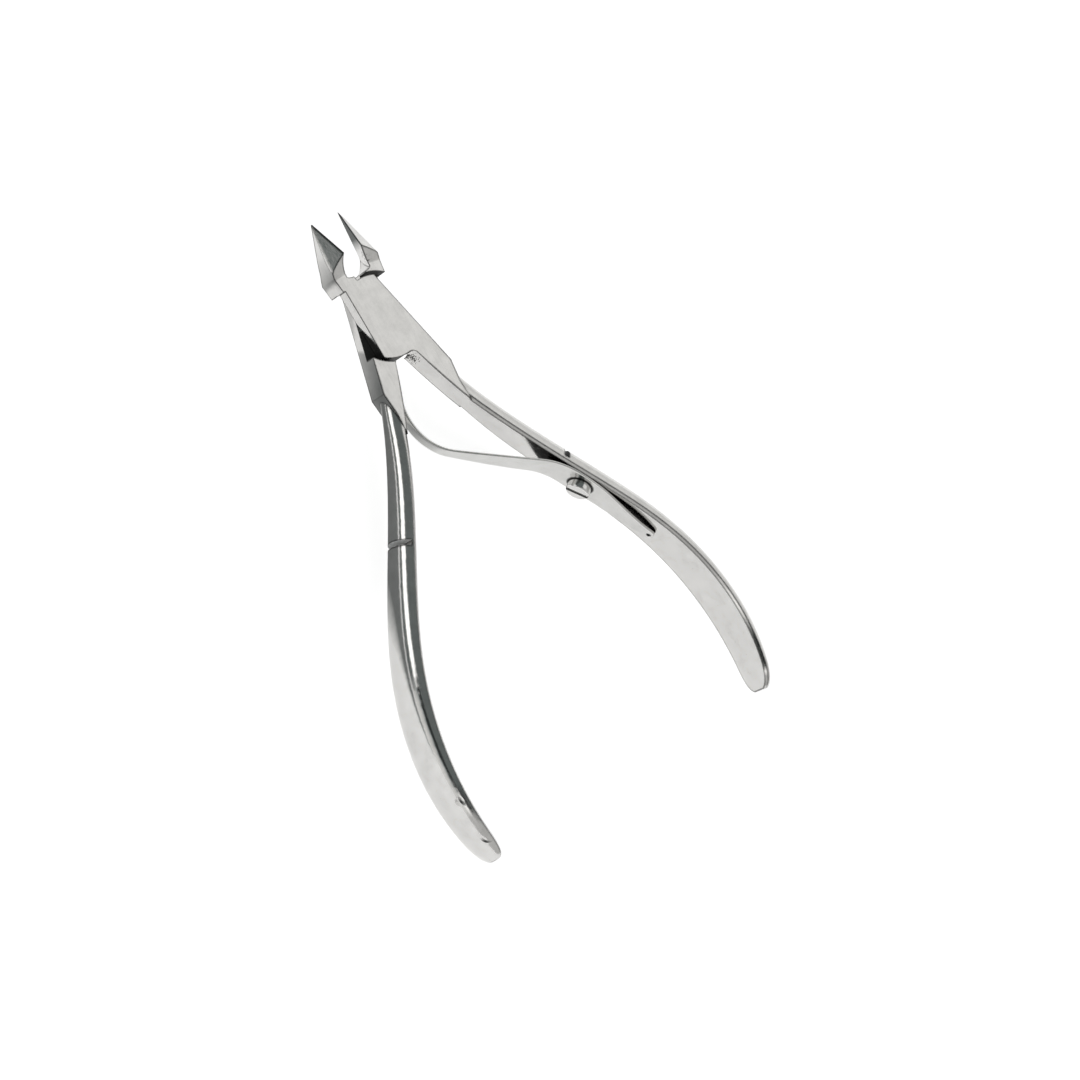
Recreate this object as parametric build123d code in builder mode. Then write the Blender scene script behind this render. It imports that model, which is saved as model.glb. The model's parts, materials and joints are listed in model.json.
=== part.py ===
from build123d import *
from math import cos, radians, sin
import os

# Cuticle nipper: two forged levers in a lap joint, one pivot rivet, and a leaf spring held by a screw.
# All sizes are in millimetres and degrees.
# Frame: the pivot axis is Z, with z = 0 on the joint's back face and +Z towards the front.
# +Y runs from the pivot to the jaw tips. The right lever's handle lies at +X.
# Each lever is drawn closed, with its handle on the right, then mirrored and turned to its rest place.

# Joint
PLATE_THICKNESS = 2.05        # each of the two lapped plates
LAP_GAP = 0.02                # running gap between the plates
SHOULDER_RADIUS = 7.57        # round shoulders that face the partner's plate, about the pivot
SHOULDER_GAP = 0.55           # from a shoulder to the end of the plate that it faces
JOINT_HALF_WIDTH = 4.05       # from the pivot to the block's outer side
PLATE_HALF_WIDTH = 3.9        # from the pivot to the far side of the same lever's plate
JOINT_TAPER = 0.125           # the joint widens towards the handles by this much for each millimetre
BLOCK_END = 12.0              # from the pivot to the outer corner at the foot of the joint block
SHOULDER_DROP = 3.5           # length of the sloping shoulder below that corner
SHOULDER_STEP = 0.95          # how far that shoulder leans in
CORNER_RADIUS = 1.2           # of the hollow corner between the plate's end and the handle's inner face
OPEN_HALF_ANGLE = 8.5         # each lever's turn from closed to its sprung-open place

# Pivot rivet, ground flush on both sides
RIVET_RADIUS = 1.8
RIVET_HEAD_RADIUS = 2.5
RIVET_HEAD_DEPTH = 0.6
RIVET_CLEARANCE = 0.03        # radial, in the lever that turns on the rivet

# Jaws
JAW_LENGTH = 18.3             # from the pivot to the tip
TIP_HEIGHT = 1.09             # of the tip in front of the lap plane
TIP_THICKNESS = 0.20
TIP_HALF_WIDTH = 0.12
HEEL_LENGTH = 11.7            # from the pivot to the heel of the cutting edge
HEEL_HEIGHT = 3.75            # of that heel in front of the lap plane
EDGE_GAP = 0.015              # from a closed cutting edge to the middle plane
JAW_HALF_WIDTH = 3.45
JAW_ROOT = 6.7                # from the pivot to the foot of the jaw's outer side
JAW_CORNER = 9.3              # from the pivot to where the outer side starts to narrow
JAW_BELLY = 2.38              # half-width of the jaw where the outer side is roundest
JAW_BELLY_AT = 13.0
JAW_CORNER_HEADING = (0.12, 1)             # of the outer side, in plan, where it starts to narrow
JAW_TIP_HEADING = (0.42, 1)                # and where it meets the tip
NECK_START = 8.9              # from the pivot to where the front scoops up to the heel
NECK_RADIUS = 5.0             # of that scoop
BACK_FACET = (9.4, 11.0)      # from the pivot to the short steep facet where the back starts to thin
BACK_FACET_RISE = 0.95
BEVEL_LEAN = 62.0             # of the outer bevel away from the middle plane, across the cutting edge
FACET_SPARE = 0.05            # how far in front of its chord the facet beside the bevel lies
RELIEF_ANGLE = 22.0           # of the inner face away from the middle plane, behind the cutting edge
NOTCH_CENTER = (0.25, 10.2)   # of the round gap behind the cutting edges, left jaw
NOTCH_RADIUS = 2.4

# Handle: its flat inner face follows equal arcs, one for each bend
INNER_START = (0.73, -5.60)
INNER_START_ANGLE = 10.55     # outwards from -Y, closed
INNER_ARC = 16.45
INNER_BENDS = (8.5, 6.8, -5.4, -19.3, -22.4)
END_STUB = 2.4                # rounded end beyond the last arc
EDGE_CHAMFER = 0.42           # along the inner face's long edges
# Sections: distance along the inner face, half-width, thickness, height where the round back starts
HANDLE_SECTIONS = (
    (6.5, 1.95, 2.95, 1.00),
    (14.0, 2.10, 2.85, 0.75),
    (22.0, 2.76, 2.95, 0.60),
    (32.0, 3.20, 3.08, 0.55),
    (42.0, 3.65, 3.12, 0.52),
    (52.0, 4.15, 3.04, 0.50),
    (62.0, 4.48, 2.84, 0.50),
    (72.0, 4.40, 2.52, 0.50),
    (79.0, 3.95, 2.22, 0.48),
    (82.0, 3.45, 1.98, 0.46),
    (83.6, 2.65, 1.68, 0.45),
    (84.4, 1.60, 1.32, 0.44),
)
GROOVE_AT = 32.3              # along the inner face
GROOVE_WIDTH = 0.85
GROOVE_DEPTH = 0.38
GROOVE_START = 0.9            # height above the inner face where the groove begins

# Leaf spring, drawn in its rest place
SPRING_THICKNESS = 0.53
SPRING_SCREW_AT = 37.5        # along the right handle's inner face
SPRING_SEAT_GAP = 0.06        # from the inner face to the spring at the screw
SPRING_SEAT_HALF = 2.0        # straight length on each side of the screw
SPRING_ARM_RADII = (14.9, 360.0, 9.7)      # of its arcs, from the seat to the free end
SPRING_ARM_TURNS = (26.8, -2.4, -80.0)
SPRING_TAIL_RADII = (28.0, 42.0)           # the tail leaves the handle, runs straight, and comes back
SPRING_TAIL_TURNS = (-6.0, 7.0)
SPRING_TAIL_RUNS = (4.4, 0.8)              # straight length after each of the tail's arcs
SPRING_FREE_HALF_WIDTH = 0.95
SPRING_NECK_HALF_WIDTH = 1.0
SPRING_WAIST_HALF_WIDTH = 2.35
SPRING_ROOT_HALF_WIDTH = 3.1
SPRING_TAIL_HALF_WIDTH = 0.9
SPRING_TAIL_ROUND = 0.8       # corners of the tail's end
SPRING_FREE_SPARE = 1.0       # the leaf's outline goes this far past the free end
SPRING_NECK_AT = -22.5        # where the narrow free end starts to widen
SPRING_WAIST_AT = -30.0       # where the widening slows
SPRING_HOLE_CLEARANCE = 0.1

# Spring screw, a slotted cheese head
SCREW_HEAD_RADIUS = 2.0
SCREW_HEAD_HEIGHT = 1.5
SCREW_HEAD_ROUND = 0.3
SCREW_SLOT_WIDTH = 0.75
SCREW_SLOT_DEPTH = 0.6
SCREW_SLOT_TURN = 17.0        # of the slot away from the handle's length
SCREW_RADIUS = 1.0
SCREW_DEPTH = 2.1             # of the threaded end in the handle
SCREW_HOLE_SPARE = 0.2
SCREW_CLEARANCE = 0.02        # radial, between the plain shank and its hole

LAP = PLATE_THICKNESS                  # height of the lap plane
FRONT = 2 * PLATE_THICKNESS            # height of the joint's front face
PLATE_END_RADIUS = SHOULDER_RADIUS - SHOULDER_GAP
REACH = 40.0                           # a length that clears the part, for cutting tools


def side_at(y, half_width=JOINT_HALF_WIDTH):
    """Distance of the joint's side from the middle plane, at a distance y above the pivot."""
    return half_width - JOINT_TAPER * y


def heading(angle):
    """Unit vector that leans outwards by this angle from -Y."""
    return Vector(sin(radians(angle)), -cos(radians(angle)))


def inner_face_line():
    """Plan of the closed handle's inner face: equal tangent arcs from the joint to the rounded end."""
    with BuildLine() as line:
        point = Vector(*INNER_START)
        direction = heading(INNER_START_ANGLE)
        for bend in INNER_BENDS:
            arc = JernArc(point, direction, INNER_ARC / radians(abs(bend)), bend)
            point = arc @ 1
            direction = arc % 1
        Line(point, point + direction * END_STUB)
    return line.wires()[0]


def face_plane(wire, distance):
    """Plane across the handle at a distance along its inner face: X leaves the face outwards, Y is up."""
    point = wire.position_at(distance, position_mode=PositionMode.LENGTH)
    along = wire.tangent_at(distance, position_mode=PositionMode.LENGTH)
    outward = Vector(-along.Y, along.X)
    return Plane(origin=(point.X, point.Y, LAP), x_dir=outward, z_dir=along)


def handle_section(plane, half_width, thickness, flat, inset=0.0):
    """Handle section: flat inner face with chamfered edges, two short flat sides, and an elliptical back."""
    half = half_width - inset
    crown = thickness - flat - inset
    edge = half - EDGE_CHAMFER
    with BuildSketch(plane) as section:
        with BuildLine():
            Polyline((0, -edge), (0, edge), (EDGE_CHAMFER, half), (flat, half))
            EllipticalCenterArc((flat, 0), crown, half, start_angle=-90, arc_size=180)
            Polyline((flat, -half), (EDGE_CHAMFER, -half), (0, -edge))
        make_face()
    return section.sketch


def groove_section(plane, half_width, thickness, flat):
    """What the groove removes from the handle's back: all that stands out of a slightly smaller section."""
    inner = handle_section(plane, half_width, thickness, flat, GROOVE_DEPTH)
    with BuildSketch(plane) as section:
        with Locations((GROOVE_START + REACH / 4, 0)):
            Rectangle(REACH / 2, REACH / 2)
        add(inner, mode=Mode.SUBTRACT)
    return section.sketch


def section_at(distance):
    """Half-width, thickness and flat height of the handle, between the two sections around a distance."""
    for low, high in zip(HANDLE_SECTIONS, HANDLE_SECTIONS[1:]):
        if distance <= high[0]:
            break
    share = (distance - low[0]) / (high[0] - low[0])
    return [a + (b - a) * share for a, b in zip(low[1:], high[1:])]


def rivet_profile(clearance):
    """Half section of the rivet, or of its hole with a clearance all round."""
    shank = RIVET_RADIUS + clearance
    head = RIVET_HEAD_RADIUS + clearance
    with BuildSketch(Plane.XZ) as profile:
        with BuildLine():
            Polyline(
                (0, 0), (head, 0), (shank, RIVET_HEAD_DEPTH), (shank, FRONT - RIVET_HEAD_DEPTH),
                (head, FRONT), (0, FRONT), close=True,
            )
        make_face()
    return profile.sketch


def lifted_to(plane, x, y):
    """The point of a slanting plane above this place in plan."""
    origin = plane.origin
    slant = plane.z_dir
    return Vector(x, y, origin.Z - (slant.X * (x - origin.X) + slant.Y * (y - origin.Y)) / slant.Z)


def jaw():
    """Left-hand jaw, closed: bevelled outside, hollow inside, with its neck scooped up to the heel."""
    tip = Vector(-EDGE_GAP, JAW_LENGTH, LAP + TIP_HEIGHT)
    heel = Vector(-EDGE_GAP, HEEL_LENGTH, LAP + HEEL_HEIGHT)
    edge = (tip - heel).normalized()
    across = Vector(0, -edge.Z, edge.Y)
    with BuildPart() as hollow:
        lean = radians(RELIEF_ANGLE)
        with BuildSketch(Plane(tip, x_dir=edge, z_dir=Vector(cos(lean), 0, 0) - across * sin(lean))):
            Rectangle(2 * REACH, 2 * REACH)
        extrude(amount=REACH)
        with BuildSketch(Plane.XY.offset(-REACH)):
            with Locations(NOTCH_CENTER):
                Circle(NOTCH_RADIUS)
                Rectangle(2 * NOTCH_RADIUS, REACH, align=(Align.CENTER, Align.MIN))
        extrude(amount=2 * REACH, mode=Mode.INTERSECT)
    with BuildPart() as solid:
        with BuildSketch():
            with BuildLine():
                Polyline(
                    (-TIP_HALF_WIDTH - EDGE_GAP, JAW_LENGTH), (-EDGE_GAP, JAW_LENGTH), (-EDGE_GAP, 0),
                    (-side_at(0, PLATE_HALF_WIDTH), 0),
                    (-side_at(JAW_ROOT, PLATE_HALF_WIDTH), JAW_ROOT), (-JAW_HALF_WIDTH, JAW_ROOT),
                    (-JAW_HALF_WIDTH, JAW_CORNER),
                )
                Spline(
                    (-JAW_HALF_WIDTH, JAW_CORNER), (-JAW_BELLY, JAW_BELLY_AT),
                    (-TIP_HALF_WIDTH - EDGE_GAP, JAW_LENGTH), tangents=(JAW_CORNER_HEADING, JAW_TIP_HEADING),
                )
            make_face()
        extrude(amount=LAP + HEEL_HEIGHT)
        # the front is level with the joint, then scoops up to the heel on a round grinding wheel's curve
        with BuildSketch(Plane.YZ):
            with BuildLine():
                RadiusArc((NECK_START, FRONT), (HEEL_LENGTH, LAP + HEEL_HEIGHT), -NECK_RADIUS)
                Polyline(
                    (HEEL_LENGTH, LAP + HEEL_HEIGHT), (HEEL_LENGTH, FRONT + REACH),
                    (-REACH, FRONT + REACH), (-REACH, FRONT), (NECK_START, FRONT),
                )
            make_face()
        extrude(amount=REACH, both=True, mode=Mode.SUBTRACT)
        # the back thins to the tip
        facet_start, facet_end = BACK_FACET
        with BuildSketch(Plane.YZ):
            with BuildLine():
                Polyline(
                    (facet_start, 0), (facet_end, BACK_FACET_RISE),
                    (JAW_LENGTH, LAP + TIP_HEIGHT - TIP_THICKNESS),
                    (JAW_LENGTH + REACH, LAP + TIP_HEIGHT), (JAW_LENGTH + REACH, -REACH),
                    (facet_start, -REACH), close=True,
                )
            make_face()
        extrude(amount=REACH, both=True, mode=Mode.SUBTRACT)
        # the outer bevel passes through the whole cutting edge
        slope = radians(BEVEL_LEAN)
        bevel = Plane(tip, x_dir=edge, z_dir=across * sin(slope) - Vector(cos(slope), 0, 0))
        with BuildSketch(bevel):
            Rectangle(2 * REACH, 2 * REACH)
        extrude(amount=REACH, mode=Mode.SUBTRACT)
        # a narrow facet takes off the corner between that bevel and the outer side
        foot = lifted_to(bevel, -JAW_HALF_WIDTH, JAW_CORNER)
        chord = (lifted_to(bevel, -TIP_HALF_WIDTH - EDGE_GAP, JAW_LENGTH) - foot).normalized()
        sideways = Vector(-chord.Y, chord.X, 0).normalized()
        facing = (bevel.z_dir + sideways).normalized()
        with BuildSketch(Plane(foot + facing * FACET_SPARE, x_dir=chord, z_dir=facing)):
            Rectangle(2 * REACH, 2 * REACH)
        extrude(amount=REACH, mode=Mode.SUBTRACT)
        add(hollow.part, mode=Mode.SUBTRACT)
    return solid.part


def lever(plate_in_front, rivet_clearance):
    """One closed lever with its handle on the right: joint plate, jaw, block, handle and holes."""
    wire = inner_face_line()
    near = HANDLE_SECTIONS[1][0]
    foot = wire.position_at(near, position_mode=PositionMode.LENGTH)
    corner = side_at(-BLOCK_END)
    with BuildPart() as body:
        with BuildSketch() as joint:
            Circle(PLATE_END_RADIUS)
            with BuildLine():
                Polyline(
                    (-side_at(REACH / 2, PLATE_HALF_WIDTH), REACH / 2), (side_at(REACH / 2), REACH / 2),
                    (side_at(-REACH / 2), -REACH / 2), (-side_at(-REACH / 2, PLATE_HALF_WIDTH), -REACH / 2),
                    close=True,
                )
            make_face(mode=Mode.INTERSECT)
            with BuildLine():
                knee = wire.position_at(near / 2, position_mode=PositionMode.LENGTH)
                ThreePointArc(INNER_START, knee, foot)
                Polyline(
                    foot, (corner - SHOULDER_STEP, -BLOCK_END - SHOULDER_DROP), (corner, -BLOCK_END),
                    (side_at(0), 0), (0, 0), INNER_START,
                )
            make_face()
            plate_end = Vector(0, -PLATE_END_RADIUS)
            fillet(joint.vertices().sort_by_distance(plate_end)[0], CORNER_RADIUS)
        extrude(amount=FRONT)
        add(jaw())
        loft(sections=[handle_section(face_plane(wire, at), *sizes) for at, *sizes in HANDLE_SECTIONS])
        # transverse groove over the handle's back
        groove = groove_section(face_plane(wire, GROOVE_AT), *section_at(GROOVE_AT))
        extrude(to_extrude=groove, amount=GROOVE_WIDTH / 2, both=True, mode=Mode.SUBTRACT)
        # pocket for the partner's plate
        pocket_base = -LAP_GAP if plate_in_front else LAP - LAP_GAP / 2
        pocket_depth = LAP + LAP_GAP * 1.5 if plate_in_front else REACH
        with BuildSketch(Plane.XY.offset(pocket_base)):
            Circle(SHOULDER_RADIUS)
        extrude(amount=pocket_depth, mode=Mode.SUBTRACT)
        revolve(profiles=rivet_profile(rivet_clearance), axis=Axis.Z, mode=Mode.SUBTRACT)
    return body.part


def screw_place():
    """Plane on the right handle's inner face at the spring screw: Z leaves the face, X runs up the handle."""
    across = face_plane(inner_face_line(), SPRING_SCREW_AT)
    closed = Plane(across.origin, x_dir=-across.z_dir, z_dir=-across.x_dir)
    return Plane(Location((0, 0, 0), (0, 0, OPEN_HALF_ANGLE)) * closed.location)


SEAT = screw_place()


def right_lever():
    """Right handle, front plate and left jaw, with the tapped hole for the spring screw."""
    with BuildPart() as body:
        with Locations(Location((0, 0, 0), (0, 0, OPEN_HALF_ANGLE))):
            add(lever(plate_in_front=True, rivet_clearance=0.0))
        # the face swells a little past its plane, so the hole's tool starts clear of it
        with BuildSketch(SEAT.offset(SCREW_HEAD_HEIGHT)):
            Circle(SCREW_RADIUS + SCREW_CLEARANCE)
        extrude(amount=-SCREW_HEAD_HEIGHT - SCREW_DEPTH - SCREW_HOLE_SPARE, mode=Mode.SUBTRACT)
    return body


def left_lever():
    """Left handle, back plate and right jaw."""
    with BuildPart() as body:
        add(lever(plate_in_front=False, rivet_clearance=RIVET_CLEARANCE))
        mirror(about=Plane.YZ, mode=Mode.REPLACE)
    with BuildPart() as turned:
        with Locations(Location((0, 0, 0), (0, 0, -OPEN_HALF_ANGLE))):
            add(body.part)
    return turned


def pivot_rivet():
    """Rivet with a countersunk head at each end."""
    with BuildPart() as body:
        revolve(profiles=rivet_profile(0.0), axis=Axis.Z)
    return body


def leaf_spring():
    """Flat strip from a pointed tail, past the screw, to the end that bears on the left handle."""
    base = SEAT.origin + SEAT.z_dir * (SPRING_SEAT_GAP + SPRING_THICKNESS / 2)
    up = SEAT.x_dir
    with BuildPart() as body:
        with BuildSketch(Plane.XY.offset(LAP)):
            with BuildLine():
                flat = Vector(base.X, base.Y)
                seat = Line(flat - up * SPRING_SEAT_HALF, flat + up * SPRING_SEAT_HALF)
                point = seat @ 1
                direction = seat % 1
                for radius, turn in zip(SPRING_ARM_RADII, SPRING_ARM_TURNS):
                    arc = JernArc(point, direction, radius, turn)
                    point = arc @ 1
                    direction = arc % 1
                free_end = point
                tail_end = seat @ 0
                direction = -up
                for radius, turn, run in zip(SPRING_TAIL_RADII, SPRING_TAIL_TURNS, SPRING_TAIL_RUNS):
                    arc = JernArc(tail_end, direction, radius, turn)
                    direction = arc % 1
                    tail_end = Line(arc @ 1, (arc @ 1) + direction * run) @ 1
            trace(line_width=SPRING_THICKNESS)
        extrude(amount=2 * SPRING_ROOT_HALF_WIDTH, both=True)
        # the leaf's outline, seen from the side
        half_outline = (
            (tail_end.Y, SPRING_TAIL_HALF_WIDTH), (base.Y, SPRING_ROOT_HALF_WIDTH),
            (SPRING_WAIST_AT, SPRING_WAIST_HALF_WIDTH), (SPRING_NECK_AT, SPRING_NECK_HALF_WIDTH),
            (free_end.Y + SPRING_FREE_SPARE, SPRING_FREE_HALF_WIDTH),
        )
        with BuildSketch(Plane.YZ) as outline:
            with BuildLine():
                Polyline(
                    *[(y, LAP + half) for y, half in half_outline],
                    *[(y, LAP - half) for y, half in reversed(half_outline)], close=True,
                )
            make_face()
            fillet(outline.vertices().sort_by(Axis.X)[:2], SPRING_TAIL_ROUND)
        extrude(amount=REACH, both=True, mode=Mode.INTERSECT)
        with BuildSketch(SEAT):
            Circle(SCREW_RADIUS + SPRING_HOLE_CLEARANCE)
        extrude(amount=SCREW_HEAD_RADIUS, mode=Mode.SUBTRACT)
    return body


def spring_screw():
    """Slotted cheese-head screw: plain shank in the handle, head on the spring."""
    underside = SPRING_SEAT_GAP + SPRING_THICKNESS
    with BuildPart() as body:
        with BuildSketch(SEAT):
            Circle(SCREW_RADIUS)
        extrude(amount=-SCREW_DEPTH)
        with BuildSketch(SEAT):
            Circle(SCREW_RADIUS)
        extrude(amount=underside)
        with BuildSketch(SEAT.offset(underside)):
            Circle(SCREW_HEAD_RADIUS)
        extrude(amount=SCREW_HEAD_HEIGHT)
        rim = body.faces().sort_by(Axis(SEAT.origin, SEAT.z_dir))[-1].edges()
        fillet(rim, SCREW_HEAD_ROUND)
        with BuildSketch(SEAT.offset(underside + SCREW_HEAD_HEIGHT)):
            with Locations(Location((0, 0, 0), (0, 0, SCREW_SLOT_TURN))):
                Rectangle(3 * SCREW_HEAD_RADIUS, SCREW_SLOT_WIDTH)
        extrude(amount=-SCREW_SLOT_DEPTH, mode=Mode.SUBTRACT)
    return body


PIECES = {
    "right_lever": right_lever,
    "left_lever": left_lever,
    "pivot_rivet": pivot_rivet,
    "leaf_spring": leaf_spring,
    "spring_screw": spring_screw,
}

os.makedirs("parts", exist_ok=True)
for name, build in PIECES.items():
    piece = build()
    piece.part.label = name
    export_step(piece.part, f"parts/{name}.step")
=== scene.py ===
import json
import math
import bpy
import numpy as np
from mathutils import Matrix, Vector

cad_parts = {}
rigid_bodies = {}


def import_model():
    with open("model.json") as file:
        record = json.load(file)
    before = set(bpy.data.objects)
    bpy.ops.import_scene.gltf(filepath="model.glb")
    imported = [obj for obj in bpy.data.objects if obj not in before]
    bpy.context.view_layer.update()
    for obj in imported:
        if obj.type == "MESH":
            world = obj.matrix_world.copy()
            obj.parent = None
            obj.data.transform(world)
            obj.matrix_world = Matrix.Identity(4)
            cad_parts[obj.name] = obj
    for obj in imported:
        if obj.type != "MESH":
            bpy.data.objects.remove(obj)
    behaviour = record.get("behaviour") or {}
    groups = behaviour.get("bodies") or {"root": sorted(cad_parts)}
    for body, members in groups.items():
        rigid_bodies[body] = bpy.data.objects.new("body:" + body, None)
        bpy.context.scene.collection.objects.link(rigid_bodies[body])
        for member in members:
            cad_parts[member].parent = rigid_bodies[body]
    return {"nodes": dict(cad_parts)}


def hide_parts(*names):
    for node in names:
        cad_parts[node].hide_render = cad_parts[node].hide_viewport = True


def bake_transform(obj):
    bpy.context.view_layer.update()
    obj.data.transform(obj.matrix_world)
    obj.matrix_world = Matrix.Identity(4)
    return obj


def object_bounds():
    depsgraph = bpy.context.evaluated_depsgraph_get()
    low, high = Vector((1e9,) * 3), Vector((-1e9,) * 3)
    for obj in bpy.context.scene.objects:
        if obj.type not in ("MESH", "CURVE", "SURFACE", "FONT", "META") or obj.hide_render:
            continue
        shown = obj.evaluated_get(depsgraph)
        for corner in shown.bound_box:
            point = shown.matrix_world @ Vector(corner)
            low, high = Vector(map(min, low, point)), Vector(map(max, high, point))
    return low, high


for left_over in list(bpy.data.objects):
    bpy.data.objects.remove(left_over)
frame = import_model()
cad_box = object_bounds()
nodes = frame["nodes"]

# ---- Camera ----
# A long lens, nearly 0.6 m from the joint, looking down at the open tool from its left side, with the
# jaws at the top of the frame.
CAMERA_PLACE = (-0.318409, -0.037531, 0.478803)
CAMERA_RIGHT = (0.71731, -0.49069, 0.49466)
CAMERA_UP = (0.41036, 0.87128, 0.26922)
camera_data = bpy.data.cameras.new("camera")
camera_data.sensor_width = 36.0
camera_data.lens = 120.0
camera_data.clip_start = 0.01
camera_data.clip_end = 10.0
camera = bpy.data.objects.new("camera", camera_data)
bpy.context.scene.collection.objects.link(camera)
bpy.context.scene.camera = camera
to_the_right = Vector(CAMERA_RIGHT).normalized()
backwards = to_the_right.cross(Vector(CAMERA_UP)).normalized()
upwards = backwards.cross(to_the_right)
camera_place = Matrix((to_the_right, upwards, backwards)).transposed().to_4x4()
camera_place.translation = Vector(CAMERA_PLACE)
camera.matrix_world = camera_place

# ---- Levers ----
# Two stainless steel forgings, ground flat on the joint and the inner faces, and polished on felt wheels.
# The wheels leave faint lines along the tool, soft mottling and slightly rounded edges, and black
# polishing compound stays where they can't reach. Painted shade adds to that black in the gaps round the
# joint, and is the black in the right handle's groove; the left handle's groove is painted white as a
# highlight.
# A dark line of painted shade follows the edges, and a crescent of painted shade lies at each dent.
STEEL_COLOUR = (0.80, 0.79, 0.775)
STEEL_ROUGHNESS = 0.13
WHEEL_MARK_DEPTH = 0.0000006
LINE_STRETCH = 0.06                       # scale of the lines' noise along the tool, over that across it
NOISE_SPAN = (0.3, 0.7)                   # the values that a noise mostly has
SHADE_SPAN = (0.91, 1.06)                 # brightness over the mottling's span
ROUGHNESS_SPAN = (0.75, 1.35)             # share of the roughness over the lines' span
PIT_EDGE = (0.16, 0.05)                   # from a pit's edge to its floor, in cells
PIT_GREY = 0.82                           # each cell has a random grey, and those over this have a pit
EDGE_LINE_SPREAD = 1.7                    # radius that gives the dark line of painted shade, over the edge's radius
EDGE_LINE_DARKNESS = 0.94
EDGE_LINE_LIMITS = (0.993, 0.955)         # cosines of the turns at which the line begins and is full
LAP_LEVEL = 0.00205                       # height of the plane in which the two plates meet
LAP_SPARE = 0.0001                        # how near to it a face counts as lapped
SHADED_LAP_END = -0.0004                   # the lapped faces are painted black below this place along Y, as compound and as shade in the gap
ROUND_WALLS = (0.0065, 0.0078)            # radii between which the walls round the pivot lie
ROUND_FACING = 0.93                       # least cosine between such a wall's normal and its radius
LEVEL_FACING = 0.9                        # least cosine between a level face's normal and Z
JOINT_END = -0.02                         # place along Y below which the shanks begin
GROOVE_LEAN = math.radians(34.1)          # of the handle at the groove, away from -Y
GROOVE_DISTANCE = 0.03732                 # along the handle, from the pivot to the middle of the groove
GROOVE_FOOT = -0.00480                    # across the handle, from the pivot to where the groove begins
GROOVE_HALF_WIDTH = 0.00044
RIVET_FADE = (0.0028, 0.0036)             # the edges' radius rises between these distances from the pivot,
JOINT_EDGE = 0.00018                      # from nothing to this,
JOINT_FADE = (0.0085, 0.0115)             # and again between these,
HANDLE_EDGE = 0.00012                     # by this much
DENTS = (                                 # bottom and radius
    ((-0.0329, -0.0719, 0.0055), 0.0010),
    ((-0.0319, -0.0792, 0.0049), 0.0013),
)
DENT_DEPTH = 0.00012
CRESCENTS = (                             # painted shade of each dent's wall: darkest point, then centre and radius of the arc through it
    ((-0.03273, -0.07208, 0.00561), (-0.03133, -0.07171, 0.00657), 0.0018),
    ((-0.03187, -0.07940, 0.00483), (-0.03104, -0.07834, 0.00537), 0.0015),
)
CRESCENT_STEP = (0.00030, 0.00016, 0.00021)    # from a crescent's outer edge to its inner one
CRESCENT_SOFTNESS = 0.00008
CRESCENT_REACH = 0.0012                   # from its darkest point, where it has faded
SPECKED_PLACES = (                        # centre and radius, at the handle's top corner and at the jaws
    ((0.0024, -0.0079, 0.0018), 0.0022),
    ((0.0012, 0.0095, 0.0035), 0.0030),
)
SPECK_SCALE = 4200.0
SPECK_RISE = 0.36                         # of the specks' noise, at the middle of a specked place
SPECK_LIMITS = (0.74, 0.80)               # values of the risen noise at a speck's edge and inside it
# black of the compound, and of the painted shade in the joint's gaps and the right handle's groove
COMPOUND_AND_SHADE_COLOUR = (0.012, 0.012, 0.012, 1.0)
# painted highlight: white for the left handle's groove, which also loses most of its metallic look
PAINTED_HIGHLIGHT_COLOUR = (0.95, 0.95, 0.95, 1.0)
COMPOUND_ROUGHNESS = 0.4                  # on top of the steel's
HIGHLIGHT_GROOVE_ROUGHNESS = 0.35
METAL_LOSS = 0.9                          # share of the metallic look that both of them take away


def link_nodes(tree, *pairs):
    """Joins each output to its input."""
    for output, socket in pairs:
        tree.links.new(output, socket)


def fill_inputs(tree, inputs, values):
    """Links each input to its value where that is a socket, and writes the value in otherwise."""
    for socket, value in zip(inputs, values):
        if isinstance(value, bpy.types.NodeSocket):
            tree.links.new(value, socket)
        else:
            socket.default_value = value


def maths(tree, operation, *values, clamp=False):
    """The output of a math node on these sockets and numbers."""
    node = tree.nodes.new("ShaderNodeMath")
    node.operation = operation
    node.use_clamp = clamp
    fill_inputs(tree, node.inputs, values)
    return node.outputs[0]


def vector_maths(tree, operation, *values):
    """The output of a vector math node: a number for a product, length or distance, and else a vector."""
    node = tree.nodes.new("ShaderNodeVectorMath")
    node.operation = operation
    fill_inputs(tree, node.inputs, values)
    gives_number = operation in ("DOT_PRODUCT", "LENGTH", "DISTANCE")
    return node.outputs["Value" if gives_number else "Vector"]


def ranged(tree, value, start, end, start_value=0.0, end_value=1.0, smooth=False):
    """The start value where the value is start, the end value where it is end, held beyond both."""
    node = tree.nodes.new("ShaderNodeMapRange")
    node.interpolation_type = "SMOOTHSTEP" if smooth else "LINEAR"
    node.inputs["From Min"].default_value = start
    node.inputs["From Max"].default_value = end
    node.inputs["To Min"].default_value = start_value
    node.inputs["To Max"].default_value = end_value
    tree.links.new(value, node.inputs["Value"])
    return node.outputs["Result"]


def mixed(tree, share, first, second):
    """The first colour where the share is 0, and the second where it is 1."""
    node = tree.nodes.new("ShaderNodeMix")
    node.data_type = "RGBA"
    fill_inputs(tree, [node.inputs[name] for name in ("Factor", "A", "B")], (share, first, second))
    return node.outputs["Result"]


def new_group(name, inputs, outputs):
    """An empty node group and its two ends. An input has a default number, or None for a vector."""
    group = bpy.data.node_groups.new(name, "ShaderNodeTree")
    for input_name, value in inputs.items():
        kind = "NodeSocketVector" if value is None else "NodeSocketFloat"
        socket = group.interface.new_socket(input_name, in_out="INPUT", socket_type=kind)
        if value is not None:
            socket.default_value = value
    for output_name in outputs:
        group.interface.new_socket(output_name, in_out="OUTPUT", socket_type="NodeSocketFloat")
    return group, group.nodes.new("NodeGroupInput"), group.nodes.new("NodeGroupOutput")


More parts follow.
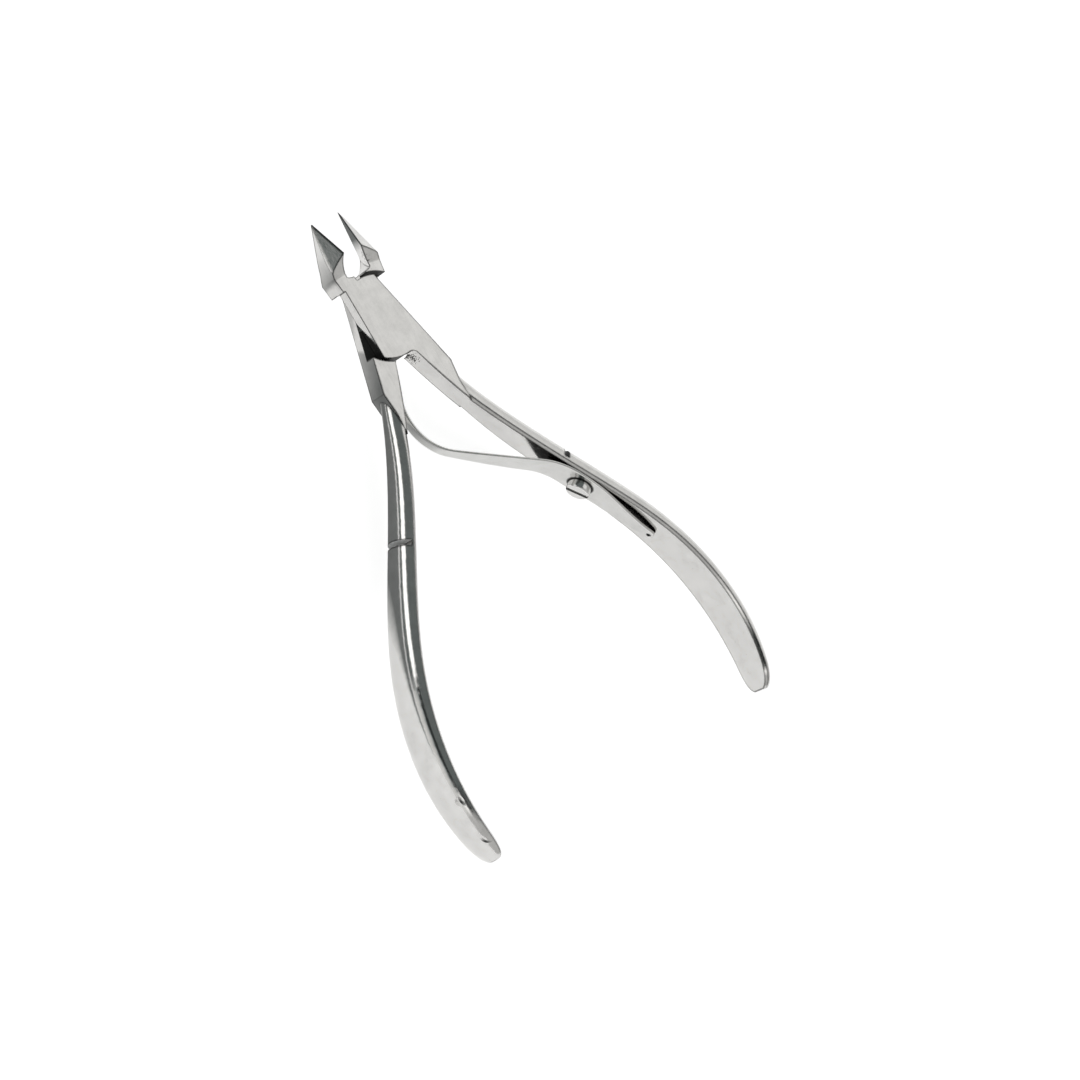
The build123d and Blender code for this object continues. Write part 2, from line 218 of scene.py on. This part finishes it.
def wheel_marks_group():
    """Node group: lines along Y from a stretched noise, over round mottling and small pits.

    Height is lines + mottling - pits, Shade is the mottling as a brightness near 1, and Mask is the lines.
    """
    inputs = {"Line Scale": 5200.0, "Mottle Scale": 420.0, "Mottle": 0.5, "Pits": 0.3}
    group, given, results = new_group("wheel_marks", inputs, ("Height", "Shade", "Mask"))
    place = group.nodes.new("ShaderNodeTexCoord").outputs["Object"]
    stretch = group.nodes.new("ShaderNodeMapping")
    stretch.inputs["Scale"].default_value = (1.0, LINE_STRETCH, 1.0)
    lines = group.nodes.new("ShaderNodeTexNoise")
    lines.inputs["Detail"].default_value = 3.0
    mottle = group.nodes.new("ShaderNodeTexNoise")
    mottle.inputs["Detail"].default_value = 5.0
    mottle.inputs["Roughness"].default_value = 0.6
    cells = group.nodes.new("ShaderNodeTexVoronoi")
    cells.inputs["Scale"].default_value = 900.0
    link_nodes(
        group,
        (place, stretch.inputs["Vector"]),
        (stretch.outputs["Vector"], lines.inputs["Vector"]),
        (given.outputs["Line Scale"], lines.inputs["Scale"]),
        (place, mottle.inputs["Vector"]),
        (given.outputs["Mottle Scale"], mottle.inputs["Scale"]),
        (place, cells.inputs["Vector"]),
    )
    in_pit = ranged(group, cells.outputs["Distance"], *PIT_EDGE)
    has_pit = maths(group, "GREATER_THAN", cells.outputs["Color"], PIT_GREY)
    pits = maths(group, "MULTIPLY", maths(group, "MULTIPLY", in_pit, has_pit), given.outputs["Pits"])
    soft = maths(group, "MULTIPLY", mottle.outputs["Fac"], given.outputs["Mottle"])
    raised = maths(group, "ADD", lines.outputs["Fac"], soft)
    link_nodes(
        group,
        (maths(group, "SUBTRACT", raised, pits), results.inputs["Height"]),
        (ranged(group, mottle.outputs["Fac"], *NOISE_SPAN, *SHADE_SPAN), results.inputs["Shade"]),
        (lines.outputs["Fac"], results.inputs["Mask"]),
    )
    return group


def joint_grime_and_shade_group():
    """Node group for the levers, from the place and the facing of each point.

    Mask is 1 where the steel is painted black: on the walls that are round about the pivot and on the low
    part of the lapped faces, as compound and as painted shade in the gaps, and in the right handle's
    groove as painted shade. The third output is 1 in the left handle's groove, which is painted white as a
    highlight. Bevel is
    the edge radius: 0 round the rivet, small on the joint and larger on the handles and jaws.
    """
    group, _, results = new_group("joint_grime_and_shade", {}, ("Mask", "Bevel", "Highlight"))
    coordinates = group.nodes.new("ShaderNodeTexCoord")
    place, normal = coordinates.outputs["Object"], coordinates.outputs["Normal"]
    place_parts = group.nodes.new("ShaderNodeSeparateXYZ")
    normal_parts = group.nodes.new("ShaderNodeSeparateXYZ")
    link_nodes(group, (place, place_parts.inputs["Vector"]), (normal, normal_parts.inputs["Vector"]))

    def above(value, limit):
        """1 where the value is over the limit."""
        return maths(group, "GREATER_THAN", value, limit)

    def below(value, limit):
        """1 where the value is under the limit."""
        return maths(group, "LESS_THAN", value, limit)

    def near(value, middle, spare):
        """1 where the value is less than the spare away from the middle."""
        return below(maths(group, "ABSOLUTE", maths(group, "SUBTRACT", value, middle)), spare)

    def every(first, *others):
        """1 where all of these are 1."""
        for share in others:
            first = maths(group, "MULTIPLY", first, share)
        return first

    flat_place = vector_maths(group, "MULTIPLY", place, (1.0, 1.0, 0.0))
    from_pivot = vector_maths(group, "LENGTH", flat_place)
    radial = vector_maths(group, "NORMALIZE", flat_place)
    facing_pivot = maths(group, "ABSOLUTE", vector_maths(group, "DOT_PRODUCT", radial, normal))
    round_part = above(facing_pivot, ROUND_FACING)
    wall = every(round_part, above(from_pivot, ROUND_WALLS[0]), below(from_pivot, ROUND_WALLS[1]))

    level_face = above(maths(group, "ABSOLUTE", normal_parts.outputs["Z"]), LEVEL_FACING)
    at_lap = near(place_parts.outputs["Z"], LAP_LEVEL, LAP_SPARE)
    lap = every(level_face, at_lap, below(place_parts.outputs["Y"], SHADED_LAP_END))

    # the handles mirror each other, so the grooves are found once, with X and Y made positive
    folded = vector_maths(group, "ABSOLUTE", place)
    along_handle = (math.sin(GROOVE_LEAN), math.cos(GROOVE_LEAN), 0.0)
    across_handle = (math.cos(GROOVE_LEAN), -math.sin(GROOVE_LEAN), 0.0)
    groove = every(
        near(vector_maths(group, "DOT_PRODUCT", folded, along_handle), GROOVE_DISTANCE, GROOVE_HALF_WIDTH),
        above(vector_maths(group, "DOT_PRODUCT", folded, across_handle), GROOVE_FOOT),
        below(place_parts.outputs["Y"], JOINT_END),
    )
    right_groove = every(groove, above(place_parts.outputs["X"], 0.0))
    left_groove = every(groove, below(place_parts.outputs["X"], 0.0))

    joint_radius = ranged(group, from_pivot, *RIVET_FADE, 0.0, JOINT_EDGE)
    more_radius = ranged(group, from_pivot, *JOINT_FADE, 0.0, HANDLE_EDGE)
    black = maths(group, "MAXIMUM", maths(group, "MAXIMUM", wall, lap), right_groove)
    link_nodes(
        group,
        (black, results.inputs["Mask"]),
        (maths(group, "ADD", joint_radius, more_radius), results.inputs["Bevel"]),
        (left_groove, results.inputs["Highlight"]),
    )
    return group


def edge_line_group():
    """Node group: Line is 0 where the bevel turns the normal by under 7 degrees, and 1 above 17. It masks
    the dark line of painted shade along the edges.
    """
    group, given, results = new_group("edge_line", {"Bevel Normal": None}, ("Line",))
    surface = group.nodes.new("ShaderNodeNewGeometry").outputs["Normal"]
    agreement = vector_maths(group, "DOT_PRODUCT", given.outputs["Bevel Normal"], surface)
    group.links.new(ranged(group, agreement, *EDGE_LINE_LIMITS), results.inputs["Line"])
    return group


def wear_and_shade_group():
    """Node group for the levers: Dent is 1 at the bottom of each dent and 0 outside it.

    Specks is 1 on small dark spots scattered round the specked places, where a noise that rises towards
    their centres passes a limit, and on a crescent at the lower edge of each dent, which is painted dark
    as the shade of the dent's wall.
    """
    group, _, results = new_group("wear_and_shade", {}, ("Dent", "Specks_and_shade"))
    place = group.nodes.new("ShaderNodeTexCoord").outputs["Object"]

    def nearness(centre, start, end=0.0, smooth=False):
        """0 at this distance from the centre, 1 at the end distance."""
        return ranged(group, vector_maths(group, "DISTANCE", place, centre), start, end, smooth=smooth)

    def crescent(darkest, centre, radius):
        """1 in a ball but not in the same ball a step further, fading away from the darkest point."""
        moved = tuple(value + step for value, step in zip(centre, CRESCENT_STEP))
        balls = [nearness(middle, radius, radius - CRESCENT_SOFTNESS) for middle in (centre, moved)]
        between = maths(group, "SUBTRACT", *balls, clamp=True)
        return maths(group, "MULTIPLY", between, nearness(darkest, CRESCENT_REACH, smooth=True))

    noise = group.nodes.new("ShaderNodeTexNoise")
    noise.inputs["Scale"].default_value = SPECK_SCALE
    noise.inputs["Detail"].default_value = 2.0
    group.links.new(place, noise.inputs["Vector"])
    specked = maths(group, "MAXIMUM", *(nearness(centre, radius) for centre, radius in SPECKED_PLACES))
    risen_noise = maths(group, "MULTIPLY_ADD", specked, SPECK_RISE, noise.outputs["Fac"])
    specks = ranged(group, risen_noise, *SPECK_LIMITS)
    dents = maths(group, "ADD", *(nearness(bottom, radius, smooth=True) for bottom, radius in DENTS))
    # painted shade on the lower wall of each dent
    crescents = maths(group, "ADD", *(crescent(*sizes) for sizes in CRESCENTS))
    link_nodes(
        group,
        (dents, results.inputs["Dent"]),
        (maths(group, "MAXIMUM", crescents, specks), results.inputs["Specks_and_shade"]),
    )
    return group


wheel_marks = wheel_marks_group()
joint_grime_and_shade = joint_grime_and_shade_group()
edge_line = edge_line_group()
wear_and_shade = wear_and_shade_group()


def group_node(tree, group):
    """A node that stands for the group in this tree."""
    node = tree.nodes.new("ShaderNodeGroup")
    node.node_tree = group
    return node


def rounded_normal(tree, radius):
    """The normal of a surface whose edges are rounded to this radius."""
    node = tree.nodes.new("ShaderNodeBevel")
    node.samples = 6
    fill_inputs(tree, (node.inputs["Radius"],), (radius,))
    return node.outputs["Normal"]


def bumped_normal(tree, height, depth, normal, inwards=False):
    """The normal after a bump of this depth on that normal."""
    node = tree.nodes.new("ShaderNodeBump")
    node.invert = inwards
    node.inputs["Distance"].default_value = depth
    link_nodes(tree, (height, node.inputs["Height"]), (normal, node.inputs["Normal"]))
    return node.outputs["Normal"]


def polished_steel(name, colour, roughness, edge_radius, mark_depth, mottle, pits):
    """Bare polished steel: wheel marks in its height, colour and roughness, and softly rounded edges.

    A dark line of painted shade follows each edge. With no edge radius given, it is a lever's: the radius
    follows the place on the lever, and the compound with painted shade in the gaps, the painted highlight
    in the left groove, the dents, the specks and the crescents of painted shade at the dents are added.
    """
    material = bpy.data.materials.new(name)
    material.use_nodes = True
    tree = material.node_tree
    shader = tree.nodes["Principled BSDF"]
    pattern = group_node(tree, wheel_marks)
    pattern.inputs["Mottle"].default_value = mottle
    pattern.inputs["Pits"].default_value = pits
    if edge_radius is None:
        grime_and_shade = group_node(tree, joint_grime_and_shade)
        edge_radius = grime_and_shade.outputs["Bevel"]
        line_radius = maths(tree, "MULTIPLY", edge_radius, EDGE_LINE_SPREAD)
    else:
        grime_and_shade = None
        line_radius = edge_radius * EDGE_LINE_SPREAD
    line = group_node(tree, edge_line)
    tree.links.new(rounded_normal(tree, line_radius), line.inputs["Bevel Normal"])
    # painted shade: the dark line along the edges
    painted_edge_shade = maths(tree, "MULTIPLY_ADD", line.outputs["Line"], -EDGE_LINE_DARKNESS, 1.0)
    tint = tree.nodes.new("ShaderNodeVectorMath")
    tint.operation = "SCALE"
    tint.inputs[0].default_value = colour
    tree.links.new(maths(tree, "MULTIPLY", pattern.outputs["Shade"], painted_edge_shade), tint.inputs["Scale"])
    colour_found = tint.outputs["Vector"]
    roughness_span = (roughness * share for share in ROUGHNESS_SPAN)
    gloss = ranged(tree, pattern.outputs["Mask"], *NOISE_SPAN, *roughness_span)
    normal = bumped_normal(tree, pattern.outputs["Height"], mark_depth, rounded_normal(tree, edge_radius))
    if grime_and_shade is None:
        shader.inputs["Metallic"].default_value = 1.0
    else:
        worn_and_shaded = group_node(tree, wear_and_shade)
        dirt_and_shade = maths(tree, "MAXIMUM", grime_and_shade.outputs["Mask"], worn_and_shaded.outputs["Specks_and_shade"])
        painted_highlight = grime_and_shade.outputs["Highlight"]
        compound_and_painted_light = maths(tree, "MAXIMUM", dirt_and_shade, painted_highlight)
        # painted black: compound with painted shade in the gaps, the specks, and the painted crescents at
        # the dents
        colour_found = mixed(tree, dirt_and_shade, colour_found, COMPOUND_AND_SHADE_COLOUR)
        # painted highlight: the left handle's groove is painted white
        colour_found = mixed(tree, painted_highlight, colour_found, PAINTED_HIGHLIGHT_COLOUR)
        gloss = maths(tree, "MULTIPLY_ADD", dirt_and_shade, COMPOUND_ROUGHNESS, gloss)
        gloss = maths(tree, "MULTIPLY_ADD", painted_highlight, HIGHLIGHT_GROOVE_ROUGHNESS, gloss)
        normal = bumped_normal(tree, worn_and_shaded.outputs["Dent"], DENT_DEPTH, normal, inwards=True)
        metal = maths(tree, "MULTIPLY_ADD", compound_and_painted_light, -METAL_LOSS, 1.0)
        tree.links.new(metal, shader.inputs["Metallic"])
    link_nodes(
        tree,
        (colour_found, shader.inputs["Base Color"]),
        (gloss, shader.inputs["Roughness"]),
        (normal, shader.inputs["Normal"]),
    )
    return material


lever_steel = polished_steel(
    "lever_steel_polished", colour=STEEL_COLOUR, roughness=STEEL_ROUGHNESS, edge_radius=None,
    mark_depth=WHEEL_MARK_DEPTH, mottle=0.8, pits=0.8,
)
for lever in ("right_lever", "left_lever"):
    nodes[lever].material_slots[0].material = lever_steel

# ---- Pivot rivet ----
# A pin of the same steel, spread into a cone at both ends of its hole. It is ground flush with the plates
# and polished together with them, so it hardly shows.
nodes["pivot_rivet"].material_slots[0].material = polished_steel(
    "rivet_steel_flush", colour=STEEL_COLOUR, roughness=STEEL_ROUGHNESS, edge_radius=0.0,
    mark_depth=WHEEL_MARK_DEPTH, mottle=0.8, pits=0.8,
)

# ---- Leaf spring ----
# A tapered strip of spring steel, bent cold and polished on its front. It is screwed flat on the right
# handle, runs down that handle to a pointed tail, and bears with its narrow free end on the left handle.
SPRING_SEAT = (0.0190543, -0.0384607)     # on the handle's inner face, at the screw
SPRING_SEAT_LEAN = 32.838                 # of the handle there, away from -Y, in degrees
SPRING_THICKNESS = 0.00053
SPRING_LIFT = 0.00006 + SPRING_THICKNESS / 2
SPRING_LEVEL = LAP_LEVEL                  # of the middle of its width
# runs of its line from the seat: a radius and a turn in degrees, or a length and 0
ARM_RUNS = ((0.002, 0.0), (0.0149, 26.8), (0.36, -2.4), (0.0097, -80.0))
TAIL_RUNS = ((0.002, 0.0), (0.028, -6.0), (0.0044, 0.0), (0.042, 7.0), (0.0008, 0.0))
LINE_STEP = 0.0001
STRIP_OUTLINE = (                         # places along Y, with the strip's half-width there
    (-0.0525, 0.00085), (-0.0505, 0.00115), (-0.0386, 0.0032),
    (-0.030, 0.0025), (-0.0225, 0.0010), (-0.0125, 0.00095),
)
OUTLINE_SMOOTHING = 0.0025                # to each side of a place
OUTLINE_SAMPLES = 21                      # over that width
TAIL_END_RADIUS = 0.0009
FREE_END_RADIUS = 0.0008
BLUNT_SHARE = 0.015                       # of the half-width that is left at the very ends
SECTION_POWERS = (5.7, 0.175)
RING_POINTS = 64                          # round the strip's section
PIT_PLACE = (0.0008, -0.0002)             # from the tail's tip, and up from the strip's middle
PIT_RADIUS = 0.00042
PIT_DEPTH = 0.00026
PIT_SHADE_DEPTH = 0.0001                   # the pit is painted black below this, as shade in its hollow
BACK_SHARE = 0.4                          # of the thickness, behind the middle, where its back begins; the back is painted black as the shade in the gap to the handle
SCREW_RING = (0.00245, 0.00220)           # distances from the screw's axis, at the edge of the painted shadow round the screw head
# colour of the painted shade on the spring's back and in its pit, and of the painted shadow at the screw
SPRING_SHADE_COLOUR = (0.015, 0.015, 0.015, 1.0)


def bent_line(start, heading, runs):
    """Points and headings of a line of tangent runs: the sum of small steps along its heading."""
    lengths = [radius * math.radians(abs(turn)) if turn else radius for radius, turn in runs]
    knots = np.concatenate([[0.0], np.cumsum(lengths)])
    turned = np.concatenate([[0.0], np.cumsum([turn for _, turn in runs])])
    along = np.linspace(0.0, knots[-1], int(knots[-1] / LINE_STEP) + 2)
    angle = np.radians(heading + np.interp(along, knots, turned))
    middle = (angle[1:] + angle[:-1]) / 2
    steps = np.stack([np.cos(middle), np.sin(middle)], axis=1) * (along[1] - along[0])
    points = np.array(start) + np.concatenate([np.zeros((1, 2)), np.cumsum(steps, axis=0)])
    return points, angle


def spring_mesh():
    """A rounded rectangle carried along the spring's line.

    Its half-width follows the strip's outline over Y, and closes on a half circle at both ends. The
    section is through = (1 - |across|^5.7)^0.175, scaled to the half-width and half the thickness. A round
    pit, depth * e^-(distance / radius)^4, marks the tail.
    """
    lean = math.radians(SPRING_SEAT_LEAN)
    seat = np.array(SPRING_SEAT) - np.array([math.cos(lean), math.sin(lean)]) * SPRING_LIFT
    arm, arm_angle = bent_line(seat, 90.0 + SPRING_SEAT_LEAN, ARM_RUNS)
    tail, tail_angle = bent_line(seat, SPRING_SEAT_LEAN - 90.0, TAIL_RUNS)
    points = np.concatenate([tail[:0:-1], arm])
    angle = np.concatenate([tail_angle[:0:-1] + math.pi, arm_angle])
    count = len(points)
    along = np.concatenate([[0.0], np.cumsum(np.linalg.norm(np.diff(points, axis=0), axis=1))])
    outline_y, outline_half = np.array(STRIP_OUTLINE).T
    shifts = np.linspace(-OUTLINE_SMOOTHING, OUTLINE_SMOOTHING, OUTLINE_SAMPLES)
    half = np.mean([np.interp(points[:, 1] + shift, outline_y, outline_half) for shift in shifts], axis=0)
    for distance, radius in ((along, TAIL_END_RADIUS), (along[-1] - along, FREE_END_RADIUS)):
        near = np.clip(distance / radius, 0.0, 1.0)
        half *= np.sqrt(1.0 - (1.0 - near) ** 2) * (1.0 - BLUNT_SHARE) + BLUNT_SHARE
    across = np.stack([-np.sin(angle), np.cos(angle)], axis=1)
    around = np.linspace(0.0, 2 * math.pi, RING_POINTS, endpoint=False)
    cosine = np.cos(around)[None, :]
    face_side = np.sign(np.sin(around))[None, :]
    height = cosine * half[:, None]
    section = (1.0 - np.abs(cosine) ** SECTION_POWERS[0]) ** SECTION_POWERS[1]
    offset = face_side * section * SPRING_THICKNESS / 2
    from_pit = np.hypot(along[:, None] - PIT_PLACE[0], height - PIT_PLACE[1])
    pit = PIT_DEPTH * np.exp(-(from_pit / PIT_RADIUS) ** 4)
    offset = np.where(offset > 0, offset - pit, offset)
    x = points[:, :1] + across[:, :1] * offset
    y = points[:, 1:] + across[:, 1:] * offset
    vertices = np.stack([x, y, SPRING_LEVEL + height], axis=2).reshape(-1, 3)

    ring = np.arange(RING_POINTS)
    ring_next = (ring + 1) % RING_POINTS
    row = np.arange(count - 1)[:, None] * RING_POINTS
    corners = [row + ring, row + RING_POINTS + ring, row + RING_POINTS + ring_next, row + ring_next]
    faces = np.stack(corners, axis=2).reshape(-1, 4).tolist()
    faces.append(list(range(RING_POINTS)))
    faces.append(list(range(count * RING_POINTS - 1, (count - 1) * RING_POINTS - 1, -1)))
    mesh = bpy.data.meshes.new("leaf_spring_bent")
    mesh.from_pydata(vertices.tolist(), [], faces)
    rest_place = mesh.attributes.new("rest_place", "FLOAT_VECTOR", "POINT")
    rest_place.data.foreach_set("vector", vertices.ravel())
    dark = mesh.attributes.new("dark", "FLOAT", "POINT")
    # painted shade: the back, in the gap to the handle, and the pit's hollow
    dark_parts = (offset < -BACK_SHARE * SPRING_THICKNESS) | (pit > PIT_SHADE_DEPTH)
    dark.data.foreach_set("value", dark_parts.astype(float).ravel())
    return mesh


def darken_spring(material):
    """Adds painted shade, black on the back in the gap to the handle and in the pit, and a painted shadow
    round and under the screw head.
    """
    tree = material.node_tree
    shader = tree.nodes["Principled BSDF"]
    bright = shader.inputs["Base Color"].links[0].from_socket
    dark = tree.nodes.new("ShaderNodeAttribute")
    dark.attribute_name = "dark"
    rest_place = tree.nodes.new("ShaderNodeAttribute")
    rest_place.attribute_name = "rest_place"
    lean = math.radians(SPRING_SEAT_LEAN)
    from_seat = vector_maths(tree, "SUBTRACT", rest_place.outputs["Vector"], (*SPRING_SEAT, SPRING_LEVEL))
    sideways = vector_maths(tree, "CROSS_PRODUCT", from_seat, (math.cos(lean), math.sin(lean), 0.0))
    # painted shadow round the screw head
    screw_shadow = ranged(tree, vector_maths(tree, "LENGTH", sideways), *SCREW_RING)
    share = maths(tree, "MAXIMUM", dark.outputs["Fac"], screw_shadow)
    tree.links.new(mixed(tree, share, bright, SPRING_SHADE_COLOUR), shader.inputs["Base Color"])


spring = bpy.data.objects.new("leaf_spring_bent", spring_mesh())
bpy.context.scene.collection.objects.link(spring)
spring.data.shade_smooth()
spring_steel = polished_steel(
    "spring_steel_strip", colour=(0.76, 0.755, 0.74), roughness=0.17, edge_radius=0.00004,
    mark_depth=0.0000008, mottle=1.0, pits=0.5,
)
spring.data.materials.append(spring_steel)
darken_spring(spring_steel)
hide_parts("leaf_spring")
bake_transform(spring)

# ---- Spring screw ----
# A turned cheese-head screw, nickel plated and bright, with a sawn slot. It goes through the spring's seat
# into a tapped hole in the right handle, and holds the spring on that handle's inner face.
nodes["spring_screw"].material_slots[0].material = polished_steel(
    "screw_nickel_bright", colour=(0.82, 0.81, 0.80), roughness=0.08, edge_radius=0.00008,
    mark_depth=0.0000003, mottle=0.4, pits=0.2,
)

# ---- Studio ----
# A white sweep under the tool, a bright strip lamp over its left side, a dark gap straight above, and a
# wide pale wall over its right side: the steel shows these as its bands. A dark card lies on the sweep
# beside the joint and shows in the steel only; the one under the jaws is painted shadow, the floor's shade
# there as the steel sees it.
DARK_LEVEL = 0.4                          # greys below this have the first tint, and the others the second
DARK_TINT = (0.90, 1.0, 0.99)
PALE_TINT = (1.0, 1.0, 0.985)
FAR_FADE = (0.50, 0.56)                   # Y of the direction, where the room gives way to the far end,
NEAR_FADE = (-0.08, -0.16)                # to the near end,
TIP_FADE = (-0.22, -0.30)                 # and to the wall beyond that, which the handles' tips show
TIP_WALL = (0.50, 0.50, 0.493, 1.0)
studio = bpy.data.worlds.new("studio")
bpy.context.scene.world = studio
studio.use_nodes = True
tree = studio.node_tree
tree.nodes.clear()
direction = tree.nodes.new("ShaderNodeTexCoord")
direction_parts = tree.nodes.new("ShaderNodeSeparateXYZ")
tree.links.new(direction.outputs["Generated"], direction_parts.inputs["Vector"])
towards_left = maths(tree, "MULTIPLY", direction_parts.outputs["X"], -1.0)
lean_angle = maths(tree, "ARCTAN2", towards_left, direction_parts.outputs["Z"])
lean_share = ranged(tree, lean_angle, -math.pi, math.pi)


def wall_ramp(stops):
    """A colour ramp over the angle from straight up towards -X, with a grey level at each stop."""
    ramp = tree.nodes.new("ShaderNodeValToRGB")
    elements = ramp.color_ramp.elements
    elements.remove(elements[-1])
    elements[0].position = 0.0
    elements[0].color = (stops[0][1],) * 3 + (1.0,)
    for angle, level in stops[1:]:
        element = elements.new((angle + 180) / 360)
        tint = DARK_TINT if level < DARK_LEVEL else PALE_TINT
        element.color = (*(level * share for share in tint), 1.0)
    tree.links.new(lean_share, ramp.inputs["Fac"])
    return ramp.outputs["Color"]


# angles in degrees with their grey levels: round the middle, towards the jaws, and towards the handles
room = wall_ramp((
    (-180, 0.75), (-120, 0.70), (-70, 0.66), (-45, 0.74), (-40, 0.80), (-31, 0.80), (-27, 0.13),
    (0, 0.145), (30, 0.14), (41, 0.13), (45, 0.03), (61, 0.03), (66, 0.34),
    (74, 0.56), (86, 0.75), (180, 0.75),
))
far_end = wall_ramp((
    (-180, 0.5), (-31, 0.6), (-27, 0.13), (32, 0.14), (38, 1.6), (64, 1.6), (68, 0.13), (180, 0.16),
))
near_end = wall_ramp((
    (-180, 0.75), (-31, 0.80), (-27, 0.10), (5, 0.08), (12, 0.02), (46, 0.02),
    (50, 1.2), (66, 1.2), (72, 0.75), (180, 0.75),
))
towards_jaws = direction_parts.outputs["Y"]
with_far = mixed(tree, ranged(tree, towards_jaws, *FAR_FADE), room, far_end)
with_near = mixed(tree, ranged(tree, towards_jaws, *NEAR_FADE), with_far, near_end)
with_tips = mixed(tree, ranged(tree, towards_jaws, *TIP_FADE), with_near, TIP_WALL)
light = tree.nodes.new("ShaderNodeBackground")
sky_output = tree.nodes.new("ShaderNodeOutputWorld")
link_nodes(
    tree,
    (with_tips, light.inputs["Color"]),
    (light.outputs["Background"], sky_output.inputs["Surface"]),
)

FLOOR_REACH = 4.0                         # from the middle to each side
FLOOR_GAP = 0.00001                       # under the tool
PAPER_COLOUR = (0.9, 0.9, 0.9, 1.0)
# colour of the cards, and of the painted shadow under the jaws as the steel sees it
CARD_COLOUR = (0.11, 0.13, 0.13, 1.0)
CAMERA_LIFT = 0.75                        # light of its own that the camera sees, for a white ground
GLOSS_LIFT = (0.52, 0.13)                 # and that the steel sees, in the paper and in the cards
floor_level = cad_box[0][2] - FLOOR_GAP
floor_mesh = bpy.data.meshes.new("floor")
unit_corners = ((-1, -1), (1, -1), (1, 1), (-1, 1))
floor_corners = [(x * FLOOR_REACH, y * FLOOR_REACH, floor_level) for x, y in unit_corners]
floor_mesh.from_pydata(floor_corners, [], [(0, 1, 2, 3)])
floor = bpy.data.objects.new("floor", floor_mesh)
bpy.context.scene.collection.objects.link(floor)
paper = bpy.data.materials.new("white_paper")
paper.use_nodes = True
tree = paper.node_tree
matt = tree.nodes["Principled BSDF"]
matt.inputs["Roughness"].default_value = 0.95
matt.inputs["Specular IOR Level"].default_value = 0.0
matt.inputs["Emission Color"].default_value = (1.0, 1.0, 1.0, 1.0)
rays = tree.nodes.new("ShaderNodeLightPath")
spot = tree.nodes.new("ShaderNodeTexCoord")
spot_parts = tree.nodes.new("ShaderNodeSeparateXYZ")
tree.links.new(spot.outputs["Object"], spot_parts.inputs["Vector"])


def card_mask(left, right, near, far, soft):
    """1 inside a rectangle of the floor and 0 outside it, rising over a soft edge."""
    mask = 1.0
    edges = (("X", left, soft), ("X", right, -soft), ("Y", near, soft), ("Y", far, -soft))
    for axis, edge, inwards in edges:
        risen = ranged(tree, spot_parts.outputs[axis], edge, edge + inwards)
        mask = maths(tree, "MULTIPLY", risen, mask)
    return mask


long_card = card_mask(left=-0.3, right=-0.002, near=-0.044, far=0.016, soft=0.008)
# painted shadow: the floor under the jaws, dark only as the steel sees it
jaw_shadow_card = card_mask(left=-0.005, right=0.007, near=0.0115, far=0.03, soft=0.002)
# cut out of the cards, so the plate's left side stays bright
plate_window = card_mask(left=-0.0094, right=-0.0055, near=-0.0022, far=0.0078, soft=0.0010)
cards = maths(tree, "SUBTRACT", maths(tree, "MAXIMUM", long_card, jaw_shadow_card), plate_window, clamp=True)
card_seen = maths(tree, "MULTIPLY", cards, rays.outputs["Is Glossy Ray"])
camera_light = maths(tree, "MULTIPLY", rays.outputs["Is Camera Ray"], CAMERA_LIFT)
gloss_light = ranged(tree, card_seen, 0.0, 1.0, *GLOSS_LIFT)
seen_light = maths(tree, "MULTIPLY_ADD", gloss_light, rays.outputs["Is Glossy Ray"], camera_light)
link_nodes(
    tree,
    (mixed(tree, card_seen, PAPER_COLOUR, CARD_COLOUR), matt.inputs["Base Color"]),
    (seen_light, matt.inputs["Emission Strength"]),
)
floor_mesh.materials.append(paper)

bpy.context.scene.view_settings.view_transform = "Standard"
